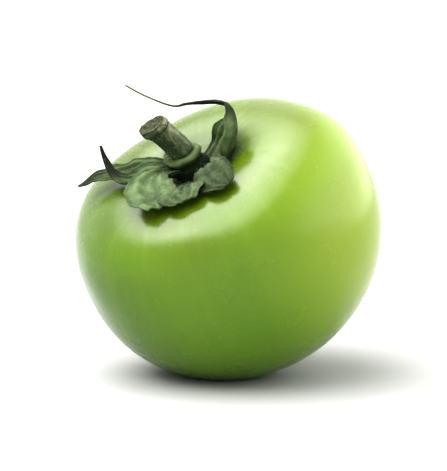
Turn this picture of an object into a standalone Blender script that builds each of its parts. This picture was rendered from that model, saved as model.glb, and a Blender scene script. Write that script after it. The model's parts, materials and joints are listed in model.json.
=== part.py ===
"""A green tomato as picked: the fruit, its calyx of eight sepals and the broken stub of its stem.

The fruit leans on a small flat spot of its skin. Lengths are in metres and +Z is up. The origin is on the
surface that the fruit rests on, straight below the middle of the fruit's widest ring.
"""

import math

import bmesh
import bpy
from mathutils import Matrix, Vector

MM = 0.001

# How the fruit stands: its stem axis leans from upright, towards a compass angle counted from +X
LEAN = math.radians(30)
LEAN_TOWARDS = math.radians(220)
WIDEST_RING_ABOVE_REST = 29.1 * MM

# The fruit, in its own frame: origin in the middle of its widest ring, +Z along the stem axis
FRUIT_RADIUS = 30.0 * MM
STEM_END_REACH = 17.5 * MM
BLOSSOM_END_REACH = 29.5 * MM
STEM_END_SQUARENESS = 2.8
BLOSSOM_END_SQUARENESS = 2.1
CAVITY_DEPTH = 6.5 * MM
CAVITY_RADIUS = 8.0 * MM
LOBES = 5
LOBE_DEPTH = 0.035
OVALNESS = 0.008
BLOSSOM_DIMPLE_DEPTH = 0.7 * MM
BLOSSOM_DIMPLE_RADIUS = 4.5 * MM
BLOSSOM_POINT_HEIGHT = 0.6 * MM
BLOSSOM_POINT_RADIUS = 1.5 * MM
FRUIT_MERIDIANS = 64
FRUIT_RINGS = 38
HALVINGS = 40

# The calyx: a knob in the fruit's stem cavity, with a collar round its top, and the sepals that grow from it.
# A sepal is hollow at its root up to one share of its length, and twists in full from another
FIT_GAP = 0.3 * MM
KNOB_CLEARANCE = 0.55 * MM
KNOB_RADIUS = 3.8 * MM
KNOB_UNDERSIDE_SHARES = (0.4, 0.75, 1.0)
KNOB_SHOULDER_BELOW_TOP = 3.2 * MM
KNOB_WAIST_RADIUS = 3.1 * MM
KNOB_WAIST_BELOW_TOP = 2.2 * MM
COLLAR_RADIUS = 3.8 * MM
COLLAR_EDGE_BELOW_TOP = 0.9 * MM
COLLAR_TOP_RADIUS = 3.4 * MM
COLLAR_TOP = 19.1 * MM
COLLAR_SHIFT = 1.6 * MM
COLLAR_TOWARDS = math.radians(180)
KNOB_SIDES = 24
SEPAL_THICKNESS = 0.85 * MM
SEPAL_TIP_THICKNESS = 0.62 * MM
SEPAL_ROOT_HOLLOW = 0.14
ROOT_HOLLOW_UP_TO = 0.625
TWISTED_FROM = 1 / 3
HOLLOW_LEVEL = 0.4
SEPAL_POINTS_ACROSS = 5
STATIONS_BETWEEN_POINTS = 4

# The stem's stub, from the collar to where it broke at its knuckle: its radius, and its tilt from the fruit's
# axis in degrees, at shares of the way along it. The broken end slants, by its rise over each length across
STUB_LENGTH = 8.2 * MM
STUB_RADIUS = 2.55 * MM
STUB_FOOT_RADIUS = 2.8 * MM
STUB_KNUCKLE_RADIUS = 3.0 * MM
STUB_END_RADIUS = 2.7 * MM
STUB_END_HOLLOW = 0.5 * MM
STUB_END_SLANT = 0.32
STUB_RADII = (
    (0, STUB_FOOT_RADIUS),
    (0.2, STUB_RADIUS),
    (0.7, STUB_RADIUS),
    (0.9, STUB_KNUCKLE_RADIUS),
    (1, STUB_END_RADIUS),
)
STUB_TILTS = ((0, 11), (0.3, 20), (1, 30))
STUB_TOWARDS = math.radians(177)
STUB_SIDES = 16
STUB_STATIONS = 12

# Each sepal: how far its midrib twists, in degrees, how hollow its blade is, as a share of its width, and the
# midrib's points: distance from the axis in mm, compass angle in degrees, height in mm, width of blade in mm
SEPALS = {
    "threaded": (-20, 0.1, (
        (2.6, -12, 14, 4), (5.4, -13, 14.9, 6), (8, -10, 17.7, 7.4), (9.8, -4, 20.2, 5), (10.7, 6, 22.6, 3.2),
        (10.3, 18, 24, 2.5), (8, 27, 25.3, 2.1), (5.7, 60, 26, 1.3), (5.7, 91, 26.4, 0.9),
        (10.7, 115, 28.5, 0.8), (14.9, 121, 30.8, 0.75),
    )),
    "right": (0, 0.1, (
        (2.6, 38, 14, 4), (5.4, 37, 14.8, 5), (8.3, 33, 17.3, 5.5), (10.2, 31, 18.6, 4), (11.4, 31, 19, 1),
    )),
    "back": (0, 0.1, (
        (2.6, 113, 14, 4), (5.4, 113, 14.8, 4.5), (8, 112, 17, 5), (10.5, 110, 18.1, 4), (13, 107, 18.4, 0.8),
    )),
    "left": (0, 0.05, (
        (2.6, 160, 14.2, 4), (5.2, 163, 15.6, 5), (9, 169, 17.6, 5.6), (14, 171, 18.7, 5.2),
        (19, 169, 18.9, 3.6), (24.2, 168, 18, 0.8),
    )),
    "spiked": (0, 0.1, (
        (2.6, -172, 14.4, 4), (5, -172, 16, 6), (8.4, -170, 17.6, 8), (11.6, -170.5, 18.3, 7),
        (14, -173.5, 18.9, 4.4), (15.5, -180.5, 20.2, 2.5), (16.3, -189, 22.4, 1.4), (16.6, -195, 24.8, 0.8),
    )),
    "front_left": (0, 0, (
        (2.6, -154, 14.6, 3.5), (5, -155, 17, 4.2), (8, -152, 18.6, 5.8), (10.5, -144, 19, 8.5),
        (13.2, -132, 19, 10), (15.8, -121.5, 18.8, 9.5), (18, -115, 18.3, 6),
    )),
    "front": (0, 0, (
        (2.6, -98, 14, 3), (5.4, -99, 14.7, 3.5), (8.4, -100, 16.2, 5), (11.4, -101, 17.6, 7.5),
        (14, -101, 18.4, 9.6), (16.4, -99, 18.6, 9), (18.4, -97, 18.2, 5),
    )),
    "front_right": (0, 0, (
        (2.6, -60, 14.4, 3.5), (5, -62, 16.4, 4.2), (8, -67, 18, 5.8), (11, -72, 18.5, 7.6),
        (14.2, -73, 18.8, 8.2), (17, -71, 18.6, 7), (19, -69, 18.1, 3.5),
    )),
}


def mix(low, high, share):
    return low + (high - low) * share


def smooth(share):
    share = min(max(share, 0.0), 1.0)
    return share * share * (3 - 2 * share)


def along(keys, share):
    """The value at this share of the way through (share, value) keys, going straight from key to key."""
    for (start, low), (end, high) in zip(keys, keys[1:]):
        if share <= end:
            return mix(low, high, (share - start) / (end - start))
    return keys[-1][1]


def curve_through(points, steps):
    """A smooth curve through the points, with this many steps from each point to the next."""
    before = points[0] * 2 - points[1]
    after = points[-1] * 2 - points[-2]
    run = [before, *points, after]
    curve = []
    for a, b, c, d in zip(run, run[1:], run[2:], run[3:]):
        for i in range(steps):
            t = i / steps
            bend = (a * 2 - b * 5 + c * 4 - d) * t**2 + (b * 3 - a - c * 3 + d) * t**3
            curve.append(b + ((c - a) * t + bend) / 2)
    return curve + [points[-1]]


def skin_point(azimuth, polar):
    """A point on the skin, at a polar angle from the stem end (0) to the blossom end (pi)."""
    stem_share = (1 + math.cos(polar)) / 2
    squareness = mix(BLOSSOM_END_SQUARENESS, STEM_END_SQUARENESS, stem_share)
    end_reach = mix(BLOSSOM_END_REACH, STEM_END_REACH, smooth(stem_share))
    outward = abs(math.sin(polar) / FRUIT_RADIUS) ** squareness
    upward = abs(math.cos(polar) / end_reach) ** squareness
    reach = (outward + upward) ** (-1 / squareness)
    shoulder = stem_share**2 * math.sin(polar)
    lobes = LOBE_DEPTH * shoulder * math.cos(LOBES * azimuth)
    radius = reach * math.sin(polar) * (1 + lobes + OVALNESS * math.cos(2 * azimuth))
    height = reach * math.cos(polar)
    if height > 0:
        height -= CAVITY_DEPTH * math.exp(-((radius / CAVITY_RADIUS) ** 2))
    else:
        height += BLOSSOM_DIMPLE_DEPTH * math.exp(-((radius / BLOSSOM_DIMPLE_RADIUS) ** 2))
        height -= BLOSSOM_POINT_HEIGHT * math.exp(-((radius / BLOSSOM_POINT_RADIUS) ** 2))
    return Vector((radius * math.cos(azimuth), radius * math.sin(azimuth), height))


def loft(name, rings, first_end, last_end):
    """One closed round body through rings of points, each end closed by a fan to a point."""
    mesh = bmesh.new()
    loops = [[mesh.verts.new(point) for point in ring] for ring in rings]
    count = len(loops[0])
    for low, high in zip(loops, loops[1:]):
        for i in range(count):
            j = (i + 1) % count
            mesh.faces.new((low[i], low[j], high[j], high[i]))
    first, last = mesh.verts.new(first_end), mesh.verts.new(last_end)
    for i in range(count):
        j = (i + 1) % count
        mesh.faces.new((first, loops[0][j], loops[0][i]))
        mesh.faces.new((last, loops[-1][i], loops[-1][j]))
    bmesh.ops.recalc_face_normals(mesh, faces=mesh.faces)
    return as_object(name, mesh)


def loft_blade(name, rings):
    """One closed thin body through flat rings, its upper and lower face split into the same triangles."""
    mesh = bmesh.new()
    loops = [[mesh.verts.new(point) for point in ring] for ring in rings]
    count = len(loops[0])
    for low, high in zip(loops, loops[1:]):
        for i in range(count):
            j = (i + 1) % count
            if i < count // 2:
                mesh.faces.new((low[i], low[j], high[j]))
                mesh.faces.new((low[i], high[j], high[i]))
            else:
                mesh.faces.new((low[i], low[j], high[i]))
                mesh.faces.new((low[j], high[j], high[i]))
    for loop in (loops[0], loops[-1]):
        for i in range(count // 2 - 1):
            mesh.faces.new((loop[i], loop[i + 1], loop[count - 2 - i], loop[count - 1 - i]))
    bmesh.ops.recalc_face_normals(mesh, faces=mesh.faces)
    return as_object(name, mesh)


def as_object(name, mesh):
    data = bpy.data.meshes.new(name)
    mesh.to_mesh(data)
    mesh.free()
    data.shade_smooth()
    made = bpy.data.objects.new(name, data)
    bpy.context.scene.collection.objects.link(made)
    return made


def flatten_where_it_rests(fruit, fruit_frame):
    """Cuts the skin off level with the surface it rests on."""
    to_fruit = fruit_frame.inverted()
    mesh = bmesh.new()
    mesh.from_mesh(fruit.data)
    everything = mesh.verts[:] + mesh.edges[:] + mesh.faces[:]
    cut = bmesh.ops.bisect_plane(
        mesh,
        geom=everything,
        dist=1e-6,
        plane_co=to_fruit @ Vector((0, 0, 0)),
        plane_no=to_fruit.to_3x3() @ Vector((0, 0, -1)),
        clear_outer=True,
    )
    rim = [part for part in cut["geom_cut"] if isinstance(part, bmesh.types.BMEdge)]
    bmesh.ops.edgeloop_fill(mesh, edges=rim)
    bmesh.ops.recalc_face_normals(mesh, faces=mesh.faces)
    mesh.to_mesh(fruit.data)
    mesh.free()


def make_fruit(fruit_frame):
    polars = [math.pi * i / FRUIT_RINGS for i in range(1, FRUIT_RINGS)]
    turns = [2 * math.pi * i / FRUIT_MERIDIANS for i in range(FRUIT_MERIDIANS)]
    rings = [[skin_point(turn, polar) for turn in turns] for polar in polars]
    fruit = loft("fruit", rings, skin_point(0, 0), skin_point(0, math.pi))
    flatten_where_it_rests(fruit, fruit_frame)
    return fruit


def cavity_height(radius):
    """The height of the cavity's skin at this radius, found by halving the polar angle's range."""
    low, high = 0.0, math.pi / 4
    for _ in range(HALVINGS):
        middle = (low + high) / 2
        if skin_point(0, middle).xy.length < radius:
            low = middle
        else:
            high = middle
    return skin_point(0, low).z


def knob_middle(height):
    """The middle of the knob at this height: it leans over from its foot in the cavity to its collar."""
    foot = cavity_height(0)
    shift = COLLAR_SHIFT * smooth((height - foot) / (COLLAR_TOP - foot))
    return Vector((shift * math.cos(COLLAR_TOWARDS), shift * math.sin(COLLAR_TOWARDS), height))


def knob_ring(radius, height):
    """Points round the knob, counted anticlockwise seen from the stem end."""
    turns = [2 * math.pi * i / KNOB_SIDES for i in range(KNOB_SIDES)]
    return [knob_middle(height) + Vector((math.cos(a), math.sin(a), 0)) * radius for a in turns]


def make_knob():
    """The end of the stem that the sepals grow from, sunk in the cavity just clear of the skin."""
    under = [share * KNOB_RADIUS for share in KNOB_UNDERSIDE_SHARES]
    rings = [knob_ring(radius, cavity_height(radius) + KNOB_CLEARANCE) for radius in under]
    rings.append(knob_ring(KNOB_RADIUS, COLLAR_TOP - KNOB_SHOULDER_BELOW_TOP))
    rings.append(knob_ring(KNOB_WAIST_RADIUS, COLLAR_TOP - KNOB_WAIST_BELOW_TOP))
    rings.append(knob_ring(COLLAR_RADIUS, COLLAR_TOP - COLLAR_EDGE_BELOW_TOP))
    rings.append(knob_ring(COLLAR_TOP_RADIUS, COLLAR_TOP))
    bottom = Vector((0, 0, cavity_height(0) + KNOB_CLEARANCE))
    return loft("calyx", rings, bottom, knob_middle(COLLAR_TOP))


def sepal_rings(twist, hollow, points):
    """Cross-sections of a sepal along its midrib, each a thin curved band."""
    placed = []
    for radius, azimuth, height, width in points:
        turn = math.radians(azimuth)
        placed.append(Vector((radius * math.cos(turn), radius * math.sin(turn), height, width)) * MM)
    curve = curve_through(placed, STATIONS_BETWEEN_POINTS)
    root = math.radians(points[0][1])
    side = Vector((-math.sin(root), math.cos(root), 0))
    rings = []
    for i, here in enumerate(curve):
        share = i / (len(curve) - 1)
        forward = (curve[min(i + 1, len(curve) - 1)] - curve[max(i - 1, 0)]).xyz.normalized()
        side = (side - forward * side.dot(forward)).normalized()
        rolled = Matrix.Rotation(math.radians(twist) * smooth(share / TWISTED_FROM), 3, forward) @ side
        rings.append(band(here.xyz, rolled, forward.cross(rolled), here.w, hollow, share))
    return rings


def band(middle, side, upper, width, hollow, share):
    half_thick = mix(SEPAL_THICKNESS, SEPAL_TIP_THICKNESS, share) / 2
    hollow = hollow * math.sin(math.pi * share) + SEPAL_ROOT_HOLLOW * (1 - smooth(share / ROOT_HOLLOW_UP_TO))
    spread = [2 * i / (SEPAL_POINTS_ACROSS - 1) - 1 for i in range(SEPAL_POINTS_ACROSS)]
    rise = hollow * width
    points = [middle + side * (x * width / 2) + upper * (rise * (x * x - HOLLOW_LEVEL)) for x in spread]
    return [p + upper * half_thick for p in points] + [p - upper * half_thick for p in reversed(points)]


def make_calyx():
    calyx = make_knob()
    loose = bpy.data.collections.new("sepals")
    bpy.context.scene.collection.children.link(loose)
    for name, shape in SEPALS.items():
        blade = loft_blade("sepal_" + name, sepal_rings(*shape))
        bpy.context.scene.collection.objects.unlink(blade)
        loose.objects.link(blade)
    fuse(calyx, loose)
    return calyx


def fuse(core, loose):
    """Joins every object of a collection to the core as one body, and removes the collection."""
    union = core.modifiers.new("union", "BOOLEAN")
    union.operation = "UNION"
    union.solver = "EXACT"
    union.operand_type = "COLLECTION"
    union.collection = loose
    depsgraph = bpy.context.evaluated_depsgraph_get()
    joined = bpy.data.meshes.new_from_object(core.evaluated_get(depsgraph))
    core.modifiers.remove(union)
    core.data = joined
    for piece in list(loose.objects):
        bpy.data.objects.remove(piece)
    bpy.data.collections.remove(loose)


def stub_ring(middle, forward, across, side, radius, slant):
    """Points round the stalk, in a plane that slants across it."""
    ring = []
    for i in range(STUB_SIDES):
        turn = 2 * math.pi * i / STUB_SIDES
        out = across * math.cos(turn) + side * math.sin(turn)
        ring.append(middle + (out + forward * (slant * math.cos(turn))) * radius)
    return ring


def make_stub():
    """The stem's stub: a flared foot on the collar, a bent round stalk and the swollen end where it broke."""
    level = Vector((math.cos(STUB_TOWARDS), math.sin(STUB_TOWARDS), 0))
    side = Vector((-level.y, level.x, 0))
    foot = knob_middle(COLLAR_TOP) + Vector((0, 0, FIT_GAP))
    point = foot
    rings = []
    for i in range(STUB_STATIONS + 1):
        share = i / STUB_STATIONS
        tilt = math.radians(along(STUB_TILTS, share)) if i else 0.0
        forward = Vector((0, 0, math.cos(tilt))) + level * math.sin(tilt)
        across = side.cross(forward)
        slant = STUB_END_SLANT * smooth(2 * share - 1)
        rings.append(stub_ring(point, forward, across, side, along(STUB_RADII, share), slant))
        last = point
        point = point + forward * (STUB_LENGTH / STUB_STATIONS)
    return loft("pedicel", rings, foot, last - forward * STUB_END_HOLLOW)


def finish(made, parent, colour, roughness):
    material = bpy.data.materials.new(made.name)
    material.use_nodes = True
    shader = material.node_tree.nodes["Principled BSDF"]
    shader.inputs["Base Color"].default_value = (*colour, 1)
    shader.inputs["Roughness"].default_value = roughness
    shader.inputs["Metallic"].default_value = 0
    made.data.materials.clear()
    made.data.materials.append(material)
    made.parent = parent


def main():
    for old in list(bpy.data.objects):
        bpy.data.objects.remove(old)
    lean_axis = Vector((-math.sin(LEAN_TOWARDS), math.cos(LEAN_TOWARDS), 0))
    fruit_frame = Matrix.Translation((0, 0, WIDEST_RING_ABOVE_REST)) @ Matrix.Rotation(LEAN, 4, lean_axis)
    stand = bpy.data.objects.new("fruit_axis", None)
    stand.matrix_world = fruit_frame
    bpy.context.scene.collection.objects.link(stand)
    finish(make_fruit(fruit_frame), stand, (0.36, 0.60, 0.05), 0.25)
    finish(make_calyx(), stand, (0.13, 0.20, 0.09), 0.75)
    finish(make_stub(), stand, (0.14, 0.13, 0.06), 0.8)


main()
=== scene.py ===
"""The looks of a green tomato as picked: waxy skin, curled hairy sepals and the drying stub of its stem.

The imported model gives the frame. Its three solids are replaced by finer meshes, made from the same named
sizes: the fruit by its uneven skin, the calyx by its knob and eight thin creased sepals, and the pedicel by a
ridged stub with a torn end. Fine hairs stand on the calyx and the stub. Every material is made of nodes.
"""

import json
import math
import random

import bmesh
import bpy
from mathutils import Matrix, Vector, noise
from mathutils.bvhtree import BVHTree

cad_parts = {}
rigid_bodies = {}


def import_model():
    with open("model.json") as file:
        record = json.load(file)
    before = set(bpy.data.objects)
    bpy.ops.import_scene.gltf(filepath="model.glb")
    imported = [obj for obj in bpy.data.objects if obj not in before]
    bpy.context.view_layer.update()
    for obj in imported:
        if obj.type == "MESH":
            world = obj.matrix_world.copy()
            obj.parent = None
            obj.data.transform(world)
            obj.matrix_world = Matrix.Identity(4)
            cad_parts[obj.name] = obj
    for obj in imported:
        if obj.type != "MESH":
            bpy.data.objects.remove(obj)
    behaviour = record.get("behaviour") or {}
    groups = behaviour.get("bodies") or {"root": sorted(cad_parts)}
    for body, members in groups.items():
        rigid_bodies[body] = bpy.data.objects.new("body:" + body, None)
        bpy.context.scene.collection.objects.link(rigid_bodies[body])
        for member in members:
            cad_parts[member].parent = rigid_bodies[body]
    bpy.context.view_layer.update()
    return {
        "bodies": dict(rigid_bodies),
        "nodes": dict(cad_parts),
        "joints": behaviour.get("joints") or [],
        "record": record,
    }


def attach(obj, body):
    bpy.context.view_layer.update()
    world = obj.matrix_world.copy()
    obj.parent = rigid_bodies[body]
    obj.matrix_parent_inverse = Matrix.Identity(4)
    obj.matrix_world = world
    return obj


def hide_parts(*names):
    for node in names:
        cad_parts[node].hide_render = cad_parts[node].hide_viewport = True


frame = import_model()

MM = 0.001

# How the fruit stands: its stem axis leans from upright, towards a compass angle counted from +X
LEAN = math.radians(30)
LEAN_TOWARDS = math.radians(220)
WIDEST_RING_ABOVE_REST = 29.1 * MM

# The fruit, in its own frame: origin in the middle of its widest ring, +Z along the stem axis
FRUIT_RADIUS = 30.0 * MM
STEM_END_REACH = 17.5 * MM
BLOSSOM_END_REACH = 29.5 * MM
STEM_END_SQUARENESS = 2.8
BLOSSOM_END_SQUARENESS = 2.1
CAVITY_DEPTH = 6.5 * MM
CAVITY_RADIUS = 8.0 * MM
LOBES = 5
LOBE_DEPTH = 0.035
OVALNESS = 0.008
BLOSSOM_DIMPLE_DEPTH = 0.7 * MM
BLOSSOM_DIMPLE_RADIUS = 4.5 * MM
BLOSSOM_POINT_HEIGHT = 0.6 * MM
BLOSSOM_POINT_RADIUS = 1.5 * MM
REST_RIM_SOFTNESS = 0.25 * MM
SKIN_MERIDIANS = 280
SKIN_RINGS = 150
HALVINGS = 40

# The skin's unevenness, made of swells: the size of each, its share of the height, and its seed
SKIN_UNEVENNESS = 0.07 * MM
SKIN_SWELLS = ((11 * MM, 1.0, 0), (4.5 * MM, 0.4, 3))

# The calyx's knob, in the fruit's stem cavity, and the collar round its top. Its underside follows the cavity
# at these shares of its radius. Above, its profile goes through these radii, at depths below the collar's top
FIT_GAP = 0.3 * MM
KNOB_CLEARANCE = 0.55 * MM
KNOB_RADIUS = 3.8 * MM
KNOB_WAIST_RADIUS = 3.1 * MM
COLLAR_RADIUS = 3.8 * MM
COLLAR_TOP = 19.1 * MM
COLLAR_SHIFT = 1.6 * MM
COLLAR_TOWARDS = math.radians(180)
KNOB_UNDERSIDE_SHARES = (0.4, 0.75, 1)
KNOB_PROFILE = (
    (KNOB_RADIUS * 1.02, 3.2 * MM),
    (KNOB_WAIST_RADIUS, 2.2 * MM),
    (KNOB_WAIST_RADIUS * 1.06, 1.5 * MM),
    (COLLAR_RADIUS, 0.9 * MM),
    (COLLAR_RADIUS * 1.01, 0.5 * MM),
    (COLLAR_RADIUS * 0.9, 0.05 * MM),
    (COLLAR_RADIUS * 0.6, 0),
)
KNOB_STEPS = 5
KNOB_SIDES = 96
KNOB_LUMP_HEIGHT = 0.12 * MM
KNOB_LUMP_SIZE = 1.4 * MM
KNOB_RIBS = 6
KNOB_RIB_HEIGHT = 0.1 * MM
# Painted shade on the knob's wall under its collar: full from this depth below the collar's top down, fading
# out above
KNOB_PAINTED_SHADE_BELOW_TOP = 2.2 * MM
KNOB_PAINTED_SHADE_FADE = 1.2 * MM

# The sepals' blades. Where they are narrow they are thread, smoother, and dried
SEPAL_THICKNESS = 0.6 * MM
SEPAL_TIP_THICKNESS = 0.35 * MM
SEPAL_EDGE_SHARE = 0.4
SEPAL_ROOT_HOLLOW = 0.14
HOLLOW_LEVEL = 0.4
SEPAL_POINTS_ACROSS = 41
STATIONS_BETWEEN_POINTS = 15
SEPAL_CLEARANCE = 0.12 * MM
THREAD_THINNING = 0.5
THREAD_WIDTH = 2 * MM
FULL_RELIEF_WIDTH = 6 * MM
DRIED_WIDTH = 1 * MM
DRIED_FADE = 4 * MM
# Painted shade on the sepals down in the stem cavity: full up to this height, fading out over this much more
CAVITY_PAINTED_SHADE_UP_TO = 15.2 * MM
CAVITY_PAINTED_SHADE_FADE = 2.2 * MM

# How fast a change sets in along a sepal: a rate of 2 takes half of its length, the first half or the last
TWIST_RATE = 3
ROOT_HOLLOW_RATE = 1.6
THINNING_RATE = 1.4
THREAD_THINNING_RATE = 2
RELIEF_RATE = 5
DRYING_RATE = 2
TORN_TIP_RATE = 8

# How a blade creased as it dried. The sizes are those of the random forms
MIDRIB_GROOVE = 0.3 * MM
MIDRIB_GROOVE_REACH = 0.12
PLEATS = 1.8
PLEAT_HEIGHT = 0.22 * MM
PLEAT_BEND = 0.5
PLEAT_BEND_SIZE = 4.5 * MM
CRUMPLE = 0.3 * MM
CRUMPLE_SIZE = 2.7 * MM
FINE_CRUMPLE_SHARE = 0.45
FINE_CRUMPLE_SIZE = 1.1 * MM
MARGIN_CURL = 0.9 * MM
MARGIN_CURL_LEVEL = 0.25
MARGIN_CURL_SIZE = 3.4 * MM
MARGIN_WAVE = 0.16 * MM
MARGIN_WAVE_SIZE = 0.8 * MM
MARGIN_UNEVENNESS = 0.1
MARGIN_BAY_SIZE = 3 * MM
MARGIN_NICK_SHARE = 0.6
MARGIN_NICK_SIZE = 0.9 * MM
TORN_TIP_DEPTH = 0.5 * MM
TORN_TIP_SIZE = 1.6 * MM

# Each sepal: how far its midrib twists, in degrees, how hollow its blade is, as a share of its width, and the
# midrib's points: distance from the axis in mm, compass angle in degrees, height in mm, width of blade in mm
SEPALS = {
    "threaded": (-20, 0.1, (
        (2.6, -12, 14, 4), (5.4, -13, 14.9, 6), (8, -10, 17.7, 7.4), (9.8, -4, 20.2, 5), (10.7, 6, 22.6, 3.2),
        (10.3, 18, 24, 2.5), (8, 27, 25.3, 2.1), (5.7, 60, 26, 1.3), (5.7, 91, 26.4, 0.9),
        (10.7, 115, 28.5, 0.8), (14.9, 121, 30.8, 0.75),
    )),
    "right": (0, 0.1, (
        (2.6, 38, 14, 4), (5.4, 37, 14.8, 5), (8.3, 33, 17.3, 5.5), (10.2, 31, 18.6, 4), (11.4, 31, 19, 1),
    )),
    "back": (0, 0.1, (
        (2.6, 113, 14, 4), (5.4, 113, 14.8, 4.5), (8, 112, 17, 5), (10.5, 110, 18.1, 4), (13, 107, 18.4, 0.8),
    )),
    "left": (0, 0.05, (
        (2.6, 160, 14.2, 4), (5.2, 163, 15.6, 5), (9, 169, 17.6, 5.6), (14, 171, 18.7, 5.2),
        (19, 169, 18.9, 3.6), (24.2, 168, 18, 0.8),
    )),
    "spiked": (0, 0.1, (
        (2.6, -172, 14.4, 4), (5, -172, 16, 6), (8.4, -170, 17.6, 8), (11.6, -170.5, 18.3, 7),
        (14, -173.5, 18.9, 4.4), (15.5, -180.5, 20.2, 2.5), (16.3, -189, 22.4, 1.4), (16.6, -195, 24.8, 0.8),
    )),
    "front_left": (0, 0, (
        (2.6, -154, 14.6, 3.5), (5, -155, 17, 4.2), (8, -152, 18.6, 5.8), (10.5, -144, 19, 8.5),
        (13.2, -132, 19, 10), (15.8, -121.5, 18.8, 9.5), (18, -115, 18.3, 6),
    )),
    "front": (0, 0, (
        (2.6, -98, 14, 3), (5.4, -99, 14.7, 3.5), (8.4, -100, 16.2, 5), (11.4, -101, 17.6, 7.5),
        (14, -101, 18.4, 9.6), (16.4, -99, 18.6, 9), (18.4, -97, 18.2, 5),
    )),
    "front_right": (0, 0, (
        (2.6, -60, 14.4, 3.5), (5, -62, 16.4, 4.2), (8, -67, 18, 5.8), (11, -72, 18.5, 7.6),
        (14.2, -73, 18.8, 8.2), (17, -71, 18.6, 7), (19, -69, 18.1, 3.5),
    )),
}

# How much darker than plain leaf each sepal is: first down in the cavity, which is painted shade, then at
# shares of its length, which is partly the sepal's own tone and partly painted shade; below 0 it is paler,
# partly its own tone and partly painted light
SEPAL_TONE_PAINTED_SHADE_AND_LIGHT = {
    "threaded": (0.1, ((0.25, -0.2), (0.45, 0.7), (0.65, 0.5), (1, -0.6))),
    "right": (0.3, ((0.25, 0.2), (0.6, 0.3))),
    "back": (1, ((0.25, 0), (0.6, 0))),
    "left": (1, ((0.25, 0), (0.6, 0.3))),
    "spiked": (1, ((0.25, -0.1), (0.6, 0.6))),
    "front_left": (1, ((0.25, -0.1), (0.6, -0.1))),
    "front": (1, ((0.25, 0.7), (0.6, 0.3))),
    "front_right": (0.3, ((0.25, 0.3), (0.6, 0.6))),
}

# The stem's stub, from the collar to where it broke at its knuckle: its radius, and its tilt from the fruit's
# axis in degrees, at shares of the way along it. The slant of its broken end is a rise over a distance across
STUB_LENGTH = 8.2 * MM
STUB_RADIUS = 2.55 * MM
STUB_FOOT_RADIUS = 2.8 * MM
STUB_KNUCKLE_RADIUS = 3.0 * MM
STUB_END_RADIUS = 2.7 * MM
STUB_END_SLANT = 0.32
STUB_RADII = (
    (0, STUB_FOOT_RADIUS),
    (0.2, STUB_RADIUS),
    (0.7, STUB_RADIUS),
    (0.9, STUB_KNUCKLE_RADIUS),
    (1, STUB_END_RADIUS),
)
STUB_TILTS = ((0, 11), (0.3, 20), (1, 30))
STUB_TOWARDS = math.radians(177)
STUB_SIDES = 72
STUB_STATIONS = 90

# The stub's surface: ridges that wind a little, and a grooved line at the knuckle. It has painted light on
# its upper side, where the cosine of the turn round it, from the side that it leans to, is less than this
STUB_RIDGES = 7
STUB_RIDGE_HEIGHT = 0.13 * MM
STUB_RIDGE_WINDING = 1.4
STUB_RIDGE_RATE = 5
STUB_ROUGHNESS = 0.1 * MM
STUB_ROUGHNESS_SIZE = 0.9 * MM
KNUCKLE_AT = 0.8
KNUCKLE_LINE_DEPTH = 0.22 * MM
KNUCKLE_LINE_REACH = 0.02
PAINTED_LIGHT_FROM_COSINE = 0.75

# Its end is ragged, by random forms of a size, a share of the height and a seed each. Its torn face is
# hollow, through these shares of the radius at these depths in mm
RAGGED_FROM = 0.93
RAGGED_OVER = 0.07
RAGGED_HEIGHT = 0.5 * MM
RAGGED_FORMS = ((0.8 * MM, 0.4, 2), (2.2 * MM, 0.5, 7))
TORN_END = ((0.9, 0.0), (0.78, 0.25), (0.55, 0.55), (0.28, 0.6), (0.12, 0.5))
TORN_MIDDLE_DEPTH = 0.45
TORN_LESS_OUTWARD = 0.4

# The hairs, sunk a little at their roots and straying from upright; lengths and thicknesses in mm
HAIR_SIDES = 3
HAIR_SUNK = 0.06
HAIR_STRAY = 0.35
HAIR_LENGTHS = (0.25, 0.8)
HAIR_THICKNESSES = (0.03, 0.05)
CALYX_HAIRS = 1500
CALYX_HAIR_SEED = 11
STUB_HAIRS = 700
STUB_HAIR_SEED = 12

# The photograph's view, and the light in it
VIEW_ELEVATION = math.radians(10)
VIEW_DISTANCE = 0.95
VIEW_MIDDLE = Vector((-0.0005, 0, 0.0275))
VIEW_WIDTH = 0.088
VIEW_CLIP = (0.05, 20)
VIEW_EXPOSURE = 0.4
VIEW_GAMMA = 0.88
SENSOR_WIDTH = 36
FLOOR_HALF_WIDTH = 3.0

# The lamp overhead is made of level ovals, brighter at its front left and back right: the place of each along
# X and Y, its width and depth, and its brightness. In one plane they would hide each other in the gloss
LAMP_OVALS = (
    (-0.95, -0.05, 2.6, 4.0, 0.95),
    (-0.95, -0.1, 2.25, 3.3, 0.95),
    (-0.95, -0.15, 1.9, 2.6, 0.95),
    (-0.95, -0.2, 1.55, 1.9, 0.95),
    (-1.65, -0.4, 1.0, 1.1, 0.9),
    (-1.65, -0.4, 0.65, 0.7, 0.9),
    (-0.4, 0.55, 0.65, 1.1, 0.6),
    (-0.4, 0.6, 0.4, 0.7, 0.6),
)
LAMP_HEIGHT = 1.6
LAMP_SPACING = 0.004

# The white room glows in one direction: from this cosine of the angle to it, up to its middle
ROOM_BRIGHTNESS = 0.8
GLOW_BRIGHTNESS = 1.9
GLOW_TOWARDS = Vector((0.9, 0.35, 0.15))
GLOW_FROM_COSINE = 0.4


def mix(low, high, share):
    return low + (high - low) * share


def smooth(share):
    share = min(max(share, 0.0), 1.0)
    return share * share * (3 - 2 * share)


def early(share, rate):
    """From 0 at the start to 1 after the first part of the way, which is 1 / rate."""
    return smooth(share * rate)


def late(share, rate):
    """0 until the last part of the way, which is 1 / rate, and from there to 1 at the end."""
    return smooth(share * rate - (rate - 1))


def along(keys, share):
    """The value at this share of the way through (share, value) keys, eased from key to key."""
    for (start, low), (end, high) in zip(keys, keys[1:]):
        if share <= end:
            return mix(low, high, smooth((share - start) / (end - start)))
    return keys[-1][1]


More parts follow.
